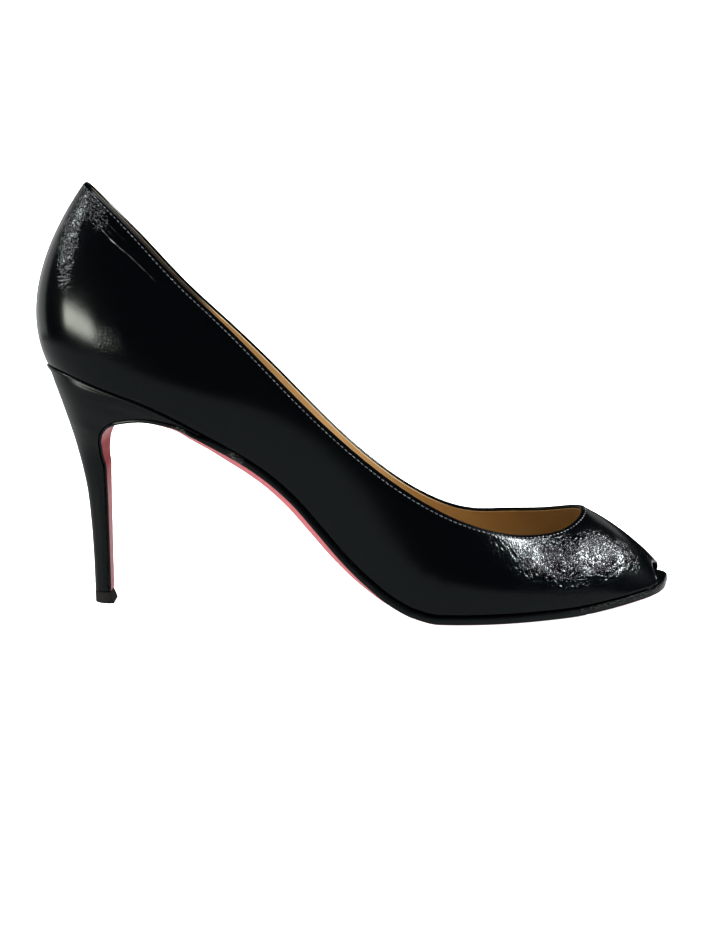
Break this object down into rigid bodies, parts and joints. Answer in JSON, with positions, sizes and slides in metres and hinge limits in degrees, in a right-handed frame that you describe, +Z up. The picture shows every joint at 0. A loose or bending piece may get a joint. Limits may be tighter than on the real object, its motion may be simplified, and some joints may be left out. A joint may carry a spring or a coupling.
{
  "type": "peep toe pump",
  "caption": "Right-foot women's pump with a slim high heel, a low-cut collar, a small open toe, a thin sole and a tan lining.",
  "frame": {"origin": "on the floor, under the ball of the foot, on the middle line of the heel seat", "axes": "+X from the heel to the toe, +Y to the inner side of the foot, +Z up; the shoe stands on the floor z = 0"},
  "size_m": [0.2276, 0.0767, 0.1474],
  "materials": {
    "upper_leather": "smooth black leather, semi-gloss, finely creased",
    "lining": "matt tan leather",
    "red_sole": "dull dark red lacquer, black edge",
    "heel_leather": "smooth black leather, semi-gloss",
    "lift_rubber": "matt black"
  },
  "bodies": {
    "root": {"upper": "upper_leather", "insole": "lining", "outsole": "red_sole", "heel": "heel_leather", "top_lift": "lift_rubber"}
  },
  "joints": []
}
